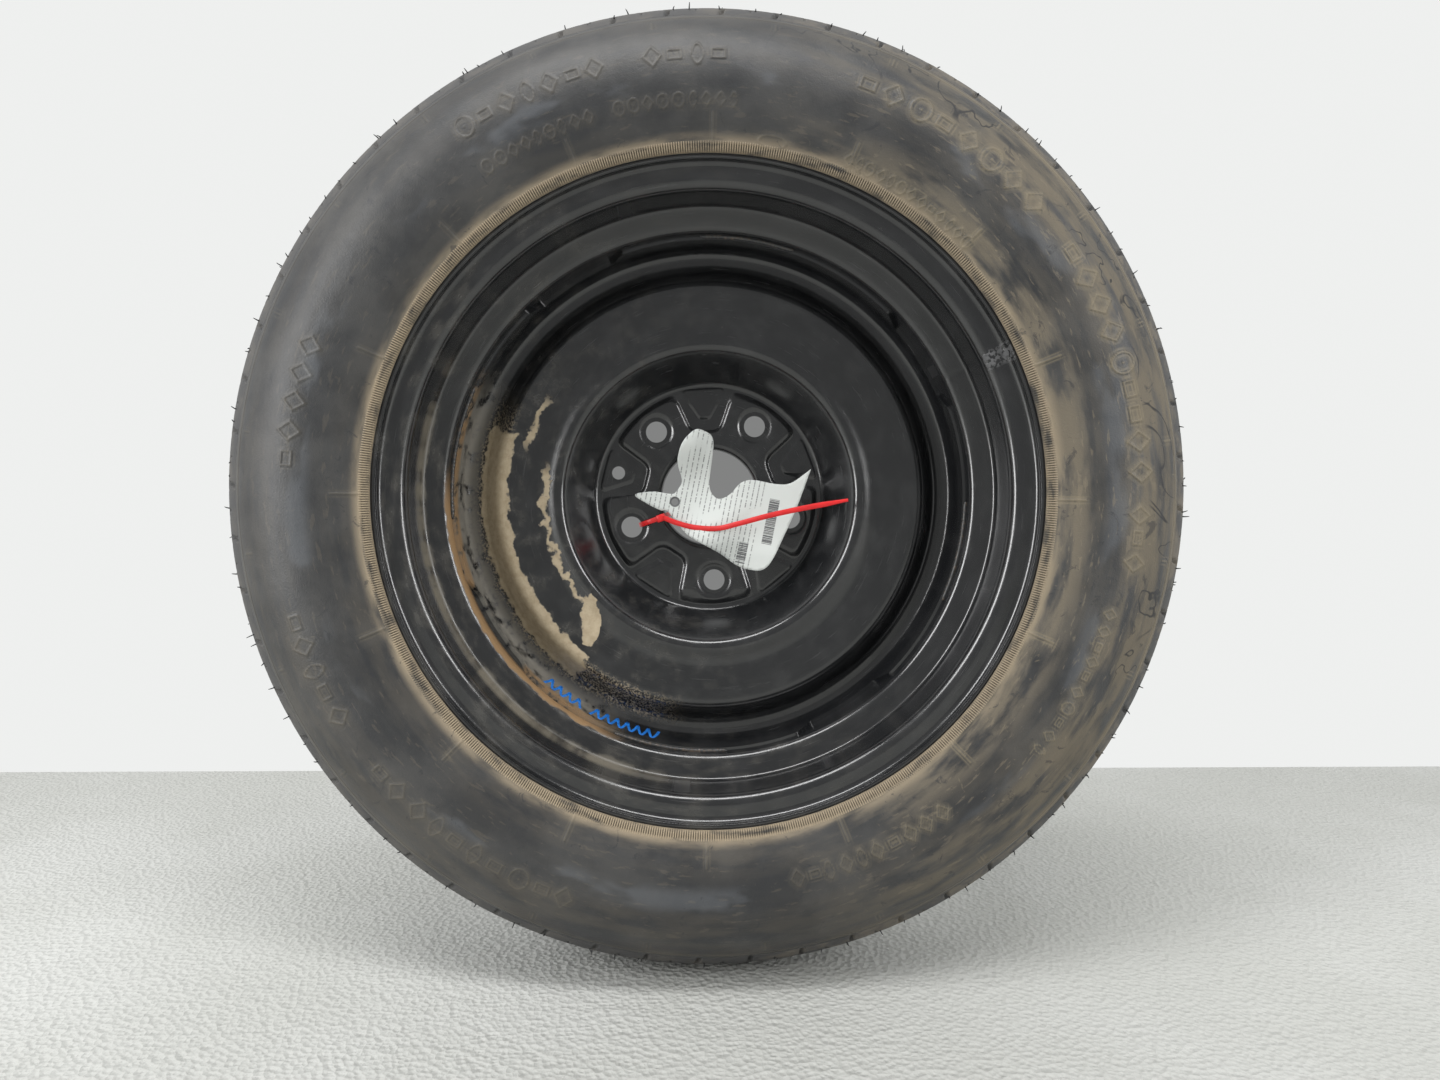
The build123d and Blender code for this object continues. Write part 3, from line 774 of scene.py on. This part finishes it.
# --- tyre: tread
def tread_relief(arc, theta):
    """How far the tread is cut in: three grooves, a notch at each pitch of both shoulders, and sipes in the ribs."""
    cut = np.zeros(np.broadcast(arc, theta).shape)
    for groove in (-23.0, 0.0, 23.0):
        wave = 0.7 * np.sin(theta * PITCHES)
        cut = np.maximum(cut, 3.4 * smooth(3.0, 2.0, np.abs(arc - groove - wave)))
    pitch = TYRE_R * 2 * math.pi / PITCHES
    for side in (-1, 1):
        along = (theta * TYRE_R + side * 9.0) % pitch - pitch / 2
        out = side * arc
        notch = smooth(1.7, 0.9, np.abs(along - (out - 34) * 0.12)) * smooth(32.5, 34.5, out)
        cut = np.maximum(cut, 2.8 * notch)
        halfway = (theta * TYRE_R + side * 9.0 + pitch / 2) % pitch - pitch / 2
        sipe = smooth(0.9, 0.4, np.abs(halfway)) * smooth(27.5, 28.5, out) * smooth(43.5, 42.0, out)
        cut = np.maximum(cut, 1.6 * sipe)
        for low, high, tilt in ((3.6, 19.4, 0.45), (26.6, 33.0, 0.3)):
            slant = (theta * TYRE_R - out * tilt * side + 5.0) % (pitch / 2) - pitch / 4
            inside = smooth(low, low + 1, out) * smooth(high, high - 1, out)
            cut = np.maximum(cut, 1.8 * smooth(1.0, 0.45, np.abs(slant)) * inside)
    return cut


def make_tread():
    rows, columns = 132, PITCHES * 32
    theta = angles(columns)[None]
    reach = math.asin(TREAD_HALF_W / CROWN_ARC_R)
    phi = np.linspace(-reach, reach, rows)[:, None]
    cut = tread_relief(phi * CROWN_ARC_R, theta)
    outer_r = CROWN_CENTRE + (CROWN_ARC_R - cut) * np.cos(phi)
    outer_y = (CROWN_ARC_R - cut) * np.sin(phi)
    back = phi[::-6]
    inner_r = (CROWN_CENTRE + (CROWN_ARC_R - 5.0) * np.cos(back)) * np.ones_like(theta)
    inner_y = ((CROWN_ARC_R - 5.0) * np.sin(back)) * np.ones_like(theta)
    obj = ring_mesh(
        "tread_moulded",
        np.concatenate([outer_r, inner_r]),
        np.concatenate([outer_y, inner_y]),
        theta,
        tread_rubber(),
    )
    stands_for(obj, "tread_rubber", "tread")


def make_whiskers():
    """The thin rubber whiskers left by the mould's vents."""
    pieces = []
    rows = ((-38.5, 2, 0.72), (38.5, 2, 0.72), (-12.0, 1, 0.6), (12.0, 1, 0.6), (-29.0, 1, 0.5))
    for arc, per_pitch, share in rows:
        for k in range(PITCHES * per_pitch):
            theta = 2 * math.pi * (k + rng.uniform(0.2, 0.8)) / (PITCHES * per_pitch)
            if rng.random() > share or (abs(arc) < 35 and abs(math.degrees(theta) - 270) < 6):
                continue
            phi = arc / CROWN_ARC_R
            out = np.array([math.cos(phi) * math.cos(theta), math.sin(phi), math.cos(phi) * math.sin(theta)])
            hub = np.array([CROWN_CENTRE * math.cos(theta), 0, CROWN_CENTRE * math.sin(theta)])
            foot = hub + out * (CROWN_ARC_R - 0.5)
            lean = np.array([rng.uniform(-0.5, 0.5) for _ in range(3)])
            length = rng.uniform(1.6, 2.9)
            path = np.array([foot + (out + lean * t) * (length + 0.5) * t for t in (0.0, 0.4, 0.75, 1.0)])
            _, across, up = frames(path, (0.3, 1.0, 0.2))
            ring = angles(6)[None, :, None]
            radius = np.array([0.55, 0.42, 0.34, 0.22])[:, None, None]
            round_it = across[:, None] * np.cos(ring) + up[:, None] * np.sin(ring)
            pieces.append(swept(path[:, None] + round_it * radius))
    verts, faces = joined(pieces)
    obj = add_mesh("vent_whiskers", verts, faces, plain("whisker_rubber", (0.02, 0.02, 0.02), 0.6))
    stands_for(obj, "tread_rubber")


def make_strip(side):
    """The ribbed foot of the sidewall that shows between the bulge and the rim's flange."""
    name = "inboard" if side < 0 else "outboard"
    teeth, per_tooth = 900, 6
    theta = angles(teeth * per_tooth)[None]
    section = np.array([(220.5, 60.0), (220.9, 61.8), (221.6, 62.9), (222.6, 63.5), (223.8, 63.9), (225.2, 64.3)])
    section = np.concatenate([section, [(226.3, 64.6), (227.2, 64.5), (227.0, 62.0), (221.0, 59.0)]])
    r, y = section[:, :1], section[:, 1:]
    shown = np.array([0, 0.7, 1, 1, 1, 1, 0.5, 0, 0, 0])[:, None]
    between = smooth(-0.3, 0.5, np.cos(theta * teeth)) * shown
    y = y - between * 0.6
    obj = ring_mesh(f"rim_strip_{name}_ribbed", r + 0 * theta, y * side, theta, STRIP_RUBBER)
    # The groove mask is also stored for the material, which darkens the grooves with painted shade.
    paint_value(obj, "between", between)
    stands_for(obj, "strip_rubber", f"rim_strip_{name}")


# --- rim
def make_rim():
    points = [(219, -60), (219, -52.2), (201.4, -52.2), (201.4, -16), (184.4, -11), (184.4, 14), (201.4, 33)]
    points += [(201.4, 52.2), (219, 52.2), (219, 60)]
    path = rounded_path(points, (6, 6, 5, 5, 5, 5, 6, 6), 4.0)
    one, other = shifted(path, HALF), shifted(path, -HALF)[::-1]
    ends = []
    for edge, direction in ((path[-1], 1), (path[0], -1)):
        centre, along = edge[:2], edge[2:] * direction
        side = np.array([-edge[3], edge[2]]) * direction
        for t in np.radians((65, 45, 22, 0, -22, -45, -65)):
            ends.append(centre + along * HALF * (math.cos(t) - 1) * 0.8 + side * HALF * math.sin(t))
    ends = np.array(ends)
    section = np.concatenate([one, ends[:7], other, ends[7:]])
    theta = angles(720)[None]
    r, y = section[:, :1] + 0 * theta, section[:, 1:] + 0 * theta
    # The butt weld that closes the rolled ring is a shallow dressed line across it.
    line = from_angle(theta, 26.5) * 200
    r = r + 0.25 * ridge(line, 3.0) * np.ones_like(r)
    obj = ring_mesh("rim_rolled", r, y, theta, rim_paint())
    stands_for(obj, "rim_paint", "rim")


# --- disc
def local(x, z, degrees):
    """Coordinates across and along a direction from the axis."""
    a = math.radians(degrees)
    return -x * math.sin(a) + z * math.cos(a), x * math.cos(a) + z * math.sin(a)


def lug_places(radius=BOLT_R):
    a = np.radians(FIRST_LUG_DEG + 360 / LUGS * np.arange(LUGS))
    return radius * np.cos(a), radius * np.sin(a)


def pad_level(x, z):
    """The middle of the sheet in the hub pad, along the axis."""
    radius = np.hypot(x, z)
    star = radius - LOBE_R
    facets = np.zeros_like(radius)
    for k in range(LUGS):
        u, v = local(x, z, FIRST_LUG_DEG + 36 + 72 * k)
        pocket = polygon_distance(u, v, [(-23, 110), (23, 110), (3.0, 60.0), (-3.0, 60.0)]) - 12.0
        star = soft_max(star, -pocket, 5.0)
        facet = polygon_distance(u, v, [(-12.5, 79), (12.5, 79), (2.2, 62.5), (-2.2, 62.5)]) - 2.5
        facets = np.maximum(facets, smooth(0.9, -0.9, facet))
    raised = soft_min(star, radius - RING_R - 1.5, 4.0)
    level = OFFSET_Y + RELIEF + HALF - RELIEF * smooth(2.5, -2.5, raised) - 0.8 * facets
    for lx, lz in zip(*lug_places()):
        level = level + 1.4 * smooth(14.5, 11.3, np.hypot(x - lx, z - lz))
    return level


def ring_points(cx, cz, radius, count, turn=0.0):
    a = angles(count) + turn
    return np.stack([cx + radius * np.cos(a), cz + radius * np.sin(a)], -1)


def staggered(xs, zs, step):
    """Points in rows, each second row moved half a step."""
    gx, gz = np.meshgrid(xs, zs)
    return (gx + (np.arange(len(zs)) % 2)[:, None] * step / 2).ravel(), gz.ravel()


def triangulated(rings, extra):
    """Triangles through closed rings and loose points: places, faces, and the middles of the faces."""
    edges, start = [], 0
    for ring in rings:
        here = np.arange(len(ring)) + start
        edges += [tuple(map(int, pair)) for pair in zip(here, np.roll(here, -1))]
        start += len(ring)
    made = delaunay_2d_cdt([Vector(p) for p in np.concatenate([*rings, extra])], edges, [], 0, 1e-5)
    flat = np.array([tuple(v) for v in made[0]])
    faces = np.array([f for f in made[2] if len(f) == 3])
    return flat, faces, flat[faces].mean(1)


def make_pad(inner_r, outer_r, columns):
    """The hub pad between two circles, as vertices and triangles, with the lug holes and the locating hole."""
    rings = [ring_points(0, 0, inner_r, columns), ring_points(0, 0, outer_r, columns)]
    holes = [(lx, lz, LUG_HOLE_R, 72) for lx, lz in zip(*lug_places())]
    a = math.radians(FIRST_LUG_DEG + 108)
    holes.append((LOCATING_R * math.cos(a), LOCATING_R * math.sin(a), LOCATING_HOLE_R, 56))
    rings += [ring_points(*hole) for hole in holes]
    extra = []
    for cx, cz, radius, count in holes:
        wide = (9.0, 10.1, 11.2, 12.2, 13.2, 14.3, 15.4, 16.6) if radius > 6 else (5.9, 6.9)
        extra += [ring_points(cx, cz, w, count, i % 2 * math.pi / count) for i, w in enumerate(wide)]
    extra += [ring_points(0, 0, inner_r + 1.0 + 1.1 * k, 300, k * 0.01) for k in range(3)]
    extra += [ring_points(0, 0, outer_r - 0.9 - 1.0 * k, 500, k * 0.006) for k in range(2)]
    step = 1.15
    grid = np.arange(-outer_r, outer_r, step)
    gx, gz = staggered(grid, grid * 0.866, step)
    radius = np.hypot(gx, gz)
    keep = (radius > inner_r + 3.9) & (radius < outer_r - 2.6)
    for cx, cz, hole_r, _ in holes:
        keep &= np.hypot(gx - cx, gz - cz) > (17.4 if hole_r > 6 else 7.7)
    extra.append(np.stack([gx[keep], gz[keep]], -1))
    extra = np.concatenate(extra)
    radius = np.hypot(*extra.T)
    extra = extra[(radius > inner_r + 0.6) & (radius < outer_r - 0.6)]
    flat, faces, middle = triangulated(rings, extra)
    radius = np.hypot(*middle.T)
    keep = (radius > inner_r * 0.9998) & (radius < outer_r)
    for cx, cz, hole_r, _ in holes:
        keep &= np.hypot(middle[:, 0] - cx, middle[:, 1] - cz) > hole_r * 0.9985
    faces = faces[keep]
    x, z = flat.T
    return np.stack([x, pad_level(x, z), z], -1), faces


DISC_POINTS = [(181.6, -5), (181.6, 26.4), (165, 26.4), (152, 8.5), (120, 11.4), (107.5, 7.0)]
DISC_POINTS += [(87, 47.9), (82.4, 47.9)]
DISC_BENDS = (9, 9, 7, 20, 5.5, 7)


def make_disc():
    columns = 720
    theta = angles(columns)[None]
    path = rounded_path(DISC_POINTS, DISC_BENDS, 2.2)
    r, y = path[:, :1] + 0 * theta, path[:, 1:2] + 0 * theta
    bend_y = DISC_POINTS[1][1] - DISC_BENDS[0]
    straight = path[:, 1:2] < bend_y - 0.01
    edge = np.zeros_like(theta)
    for middle in SCALLOPS_DEG:
        edge = np.maximum(edge, smooth(42, 26, np.abs(from_angle(theta, middle)) * DISC_POINTS[0][0]))
    start = DISC_POINTS[0][1] + SCALLOP_DEPTH * edge
    share = (path[:, 1:2] - DISC_POINTS[0][1]) / (bend_y - DISC_POINTS[0][1])
    is_skirt = straight & (path[:, :1] > 181)
    y = np.where(is_skirt, start + (bend_y - start) * share, y)
    outer = swing(r, y, theta).reshape(-1, 3), triangles(ring_quads(len(path), columns, close_rows=False))
    pad_in = BORE_R + HALF + 3.5
    pad_verts, pad_faces = make_pad(pad_in, DISC_POINTS[-1][0], columns)
    lip = rounded_path([(pad_in, 45.4), (37.15, 45.4), (37.15, BORE_LIP_Y)], (3.49,), 1.0)
    inner = swing(lip[:, :1], lip[:, 1:2], theta).reshape(-1, 3)
    inner = inner, triangles(ring_quads(len(lip), columns, close_rows=False))
    # Each sheet's triangles face the same way before they are joined.
    aligned = []
    for verts, faces in (outer, (pad_verts, pad_faces), inner):
        p = verts[faces]
        way = np.cross(p[:, 1] - p[:, 0], p[:, 2] - p[:, 0])
        flat = np.argmax(np.abs(way[:, 1]))
        aligned.append((verts, faces if way[flat, 1] > 0 else faces[:, ::-1]))
    verts, faces = merged(*joined(aligned), reach=2e-3)
    verts, faces = thickened(verts, faces, SHEET)
    obj = add_mesh("disc_pressed", verts, faces, disc_paint())
    obj.data.set_sharp_from_angle(angle=math.radians(50))
    stands_for(obj, "disc_paint", "disc")


def make_welds():
    """The lumpy beads between the disc's skirt and the rim."""
    pieces = []
    for low, high in WELDS_DEG:
        arc = math.radians(high - low) * WELL_R
        count = round(arc / 0.8)
        t = np.linspace(0, 1, count)
        theta = np.radians(low + (high - low) * t)
        ripple = np.array([rng.uniform(0.85, 1.15) for _ in range(count)])
        ripple = np.convolve(ripple, np.ones(3) / 3, "same")
        size = (1.75 + 0.22 * np.sin(t * arc * 2 * math.pi / 2.6)) * ripple
        size *= np.sqrt(np.clip(np.minimum(t, 1 - t) * arc / 3.0, 0.01, 1))
        ring = angles(12)[None]
        r = WELL_R - 0.6 + size[:, None] * np.cos(ring) * 0.9
        y = SKIRT_EDGE_Y - 0.1 + size[:, None] * np.sin(ring) * 0.8
        pieces.append(swept(swing(r, y, theta[:, None])))
    verts, faces = joined(pieces)
    net, colour, rough, _ = black_paint("weld_paint")
    burnt = net.step(net.noise(3.0, 4.0, 0.7), 0.5, 0.62)
    net.set("Base Color", net.mix(net.times(burnt, 0.55), colour, (0.11, 0.075, 0.045)))
    net.set("Roughness", net.math("ADD", rough, 0.2))
    net.bump(net.noise(0.9, 3.0), 0.2, 0.6)
    stands_for(add_mesh("weld_beads_lumpy", verts, faces, net.material), "weld_paint", "weld_beads")


def make_marker():
    """Two even waves in blue marker on the inside of the skirt."""
    path = rounded_path(DISC_POINTS, DISC_BENDS, 1.0)
    face = shifted(path, HALF)
    if face[0, 0] > path[0, 0]:
        face = shifted(path, -HALF)
    length = np.concatenate([[0], np.cumsum(np.linalg.norm(np.diff(face, axis=0), axis=1))])
    middle = path[:, :2] - face

    def on_wall(u, v):
        theta = math.radians(243) + u / 178.0
        r, y = np.interp(v, length, face[:, 0]), np.interp(v, length, face[:, 1])
        out_r, out_y = np.interp(v, length, -middle[:, 0]), np.interp(v, length, -middle[:, 1])
        size = np.hypot(out_r, out_y)
        return swing(r, y, theta), swing(out_r / size, out_y / size, theta)

    pieces = []
    for low, count in ((-46, 9), (-6, 14)):
        wave = [(low + 4.0 * k, 19 + (-8, 8)[k % 2]) for k in range(count)]
        flat = curve_through(wave, 0.7)
        place, normal = on_wall(flat[:, 0], flat[:, 1])
        along = np.gradient(place, axis=0)
        across = unit(np.cross(along, normal))
        section = ((-1.15, -0.1), (1.15, -0.1), (1.05, 0.06), (-1.05, 0.06))
        loops = [place + across * w + normal * h for w, h in section]
        pieces.append(swept(np.stack(loops, 1)))
    verts, faces = joined(pieces)
    ink = plain("marker_ink", (0.012, 0.17, 0.60), 0.5, grain=0.6, depth=0.02)
    stands_for(add_mesh("marker_scribble", verts, faces, ink), "disc_paint")


# --- tag and tie
def make_tag():
    """A curled paper tag, tied on by its eyelet."""
    edge = [(75, 20.5), (61, 10.5), (50, 9.5), (33, 12.5), (23.5, 10.5), (15.5, 2.2), (7.5, -1.5), (2, 2.2)]
    edge += [(0, 9), (0.8, 18.5), (3, 38), (1.5, 45), (-3, 48), (-9, 49.5), (-14, 46.5), (-19, 41)]
    edge += [(-22, 34.5), (-23.5, 25), (-20.5, 12), (-24, 5.2), (-28, 2.2), (-42, 4.0), (-56, 1.6), (-46, -5.5)]
    edge += [(-36, -10.2), (-31, -11), (-19, -26), (-9.5, -32.5), (7.5, -42), (20, -51), (31.5, -54.5)]
    edge += [(40, -53.8), (46.5, -47), (54.5, -31), (65, -8)]
    rim = curve_through(edge + edge[:1], 1.5)[:-1]
    eye = ring_points(*EYELET, 2.6, 28)
    step = 1.7
    gx, gz = staggered(np.arange(-60, 80, step), np.arange(-58, 54, step * 0.866), step)
    keep = (polygon_distance(gx, gz, rim) < -1.0) & (np.hypot(gx - EYELET[0], gz - EYELET[1]) > 3.6)
    flat, faces, middle = triangulated([rim, eye], np.stack([gx[keep], gz[keep]], -1))
    from_eye = np.hypot(middle[:, 0] - EYELET[0], middle[:, 1] - EYELET[1])
    inside = (polygon_distance(*middle.T, rim) < 0) & (from_eye > 2.58)
    faces = faces[inside]
    x, z = flat.T
    level = 31.0 - 9.0 * smooth(5, 75, x) - 16.0 * smooth(8, 46, z) * smooth(12, -14, x)
    level -= 11.0 * ridge((x - 8 - z * 0.15), 26.0) * smooth(8, -30, z) * smooth(-58, -30, z)
    level += 4.0 * smooth(-30, -54, x) - 3.5 * np.sin((x + z * 0.4) / 13.0) * smooth(-15, 10, x)
    verts, faces = thickened(np.stack([x, level, z], -1), faces, 0.16)
    obj = add_mesh("paper_tag", verts, faces, paper_white())
    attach(obj, "root")


def make_tie():
    """The red nylon tie that holds the tag: a loop through a lug hole and the bore, a head and a long tail."""
    loop = [(-39, 34, -16.5), (-46, 36, -19.0), (-51.5, 42, -21), (-53.0, 50, -21.5), (-50, 55.5, -20)]
    loop += [(-40, 57.5, -16.5), (-32.5, 56, -13.8), (-30.5, 50, -13.0), (-31.5, 42, -13.5), (-34, 36, -14.6)]
    tail = [(-34, 31, -15.6), (-24, 29.5, -19.5), (-10, 25.5, -22.8), (6, 20, -23.2), (21, 14, -19.6)]
    tail += [(43, 6, -13.5), (66, -1, -8.3), (86, -6, -4.5), (98, -9, -2.2)]
    body = curve_through(loop, 1.0)
    end = curve_through(tail, 1.0)
    width = 3.8 * np.ones(len(end))
    fade = np.linspace(0, 1, len(end))
    width = width - 1.6 * smooth(0.86, 1.0, fade)
    pieces = [strap(body, 3.7, 1.2, (-0.36, 0.0, 0.93)), strap(end, width, 1.3, (-0.1, -0.15, 1.0))]
    head = np.array([(-39.5, 33.5, -16.9), (-38.9, 33.5, -16.7), (-33.8, 33.5, -14.9), (-33.2, 33.5, -14.7)])
    pieces.append(strap(head, np.array([4.6, 5.4, 5.4, 4.6]), np.array([4.4, 5.2, 5.2, 4.4]), (-0.36, 0.0, 0.93), 0.6))
    verts, faces = joined(pieces)
    red = plain("tie_nylon", (0.62, 0.010, 0.012), 0.42, grain=1.5, depth=0.03, spread=0.08)
    obj = add_mesh("red_tie", verts, faces, red)
    obj.data.set_sharp_from_angle(angle=math.radians(50))
    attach(obj, "root")


# --- build
STRIP_RUBBER = strip_rubber()
for side in (-1, 1):
    make_sidewall(side)
    make_strip(side)
make_tread()
make_whiskers()
make_rim()
make_disc()
make_welds()
make_marker()
make_tag()
make_tie()

finishes = {
    "casing_plies": plain("nylon_casing", (0.28, 0.26, 0.22), 0.8, grain=2.0),
    "inner_liner": plain("liner_rubber", (0.03, 0.03, 0.03), 0.55),
    "bead_wire_inboard": plain("bead_steel", (0.45, 0.40, 0.33), 0.4, 1.0),
    "bead_filler_inboard": plain("filler_rubber", (0.035, 0.035, 0.035), 0.6),
    "valve_body": plain("valve_rubber", (0.018, 0.018, 0.018), 0.5, grain=1.5),
    "valve_stem": plain("brass", (0.72, 0.53, 0.25), 0.3, 1.0),
    "valve_core_gasket": plain("core_gasket", (0.85, 0.85, 0.83), 0.4),
    "valve_core_spring": plain("spring_steel", (0.6, 0.6, 0.62), 0.3, 1.0),
    "valve_cap": plain("cap_plastic", (0.028, 0.028, 0.028), 0.38, grain=1.2),
}
same = {
    "bead_wire_outboard": "bead_wire_inboard",
    "bead_filler_outboard": "bead_filler_inboard",
    "valve_core_barrel": "valve_stem",
    "valve_core_pin": "valve_stem",
    "valve_core_cup_seal": "valve_body",
    "valve_cap_seal": "valve_body",
}
for node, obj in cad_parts.items():
    if node in finishes or node in same:
        obj.data.materials.clear()
        obj.data.materials.append(finishes[same.get(node, node)])

# --- floor, light and camera
FLOOR_Z = cad_box[0][2] / MM
FLOOR_EDGE_Y = 470.0
sheet = np.array([(x, y, FLOOR_Z) for y in (-3500.0, FLOOR_EDGE_Y) for x in (-3500.0, 3500.0)])
net = Net("pale_sheet")
dimples = net.node("TexVoronoi", [net.place, 0.0, 1 / 4.2])
height = net.math("ADD", net.times(dimples, 0.7), net.noise(9.0, 4.0))
worn = net.step(net.noise(260.0, 4.0), 0.35, 0.7)
net.set("Base Color", net.mix(worn, (0.475, 0.480, 0.455), (0.530, 0.535, 0.515)))
net.set("Roughness", 0.55)
net.bump(height, 2.2, 0.9)
floor = add_mesh("floor_sheet", sheet, [(0, 1, 3, 2)], net.material)


def soft_light(name, place, target, size, power):
    data = bpy.data.lights.new(name, "AREA")
    data.shape = "RECTANGLE"
    data.size, data.size_y = size
    data.energy = power
    lamp = bpy.data.objects.new(name, data)
    lamp.location = place
    lamp.rotation_euler = (Vector(target) - Vector(place)).to_track_quat("-Z", "Y").to_euler()
    lamp.visible_camera = False
    bpy.context.scene.collection.objects.link(lamp)


soft_light("overhead", (-0.2, -0.9, 2.2), (0, 0, 0), (2.4, 0.5), 46)
soft_light("left_window", (-1.8, -1.1, 0.5), (0, 0, 0), (0.5, 1.8), 36)
soft_light("right_window", (1.9, -1.2, 0.6), (0, 0, 0), (0.4, 1.5), 24)

world = bpy.data.worlds.new("studio")
world.use_nodes = True
# The room is brighter behind the wheel than on the camera's side, but for the soft shade right behind the wheel.
sky = world.node_tree.nodes
heading = sky.new("ShaderNodeTexCoord").outputs["Generated"]
parts = sky.new("ShaderNodeSeparateXYZ")
world.node_tree.links.new(heading, parts.inputs[0])


def by_heading(low, high, at_low, at_high):
    """A level that changes softly with how far a direction points away from the camera."""
    made = sky.new("ShaderNodeMapRange")
    made.interpolation_type = "SMOOTHSTEP"
    for key, value in (("From Min", low), ("From Max", high), ("To Min", at_low), ("To Max", at_high)):
        made.inputs[key].default_value = value
    world.node_tree.links.new(parts.outputs["Y"], made.inputs["Value"])
    return made.outputs["Result"]


room = sky.new("ShaderNodeMath")
room.operation = "MULTIPLY"
shade_from, shade_full = math.cos(math.radians(21)), math.cos(math.radians(9))
world.node_tree.links.new(by_heading(-0.3, 0.5, 0.40, 0.90), room.inputs[0])
world.node_tree.links.new(by_heading(shade_from, shade_full, 1.0, 0.26), room.inputs[1])
world.node_tree.links.new(room.outputs[0], sky["Background"].inputs["Strength"])
sky["Background"].inputs["Color"].default_value = (0.955, 0.965, 0.955, 1)
bpy.context.scene.world = world

camera_data = bpy.data.cameras.new("camera")
camera_data.sensor_width = 36.0
camera_data.lens = 23.75
camera = bpy.data.objects.new("camera", camera_data)
camera.location = (-0.002, -0.680, 0.0)
camera.rotation_euler = (math.radians(90 - 2.6), 0, math.radians(-0.8))
bpy.context.scene.collection.objects.link(camera)
bpy.context.scene.camera = camera
bpy.context.scene.view_settings.view_transform = "Standard"
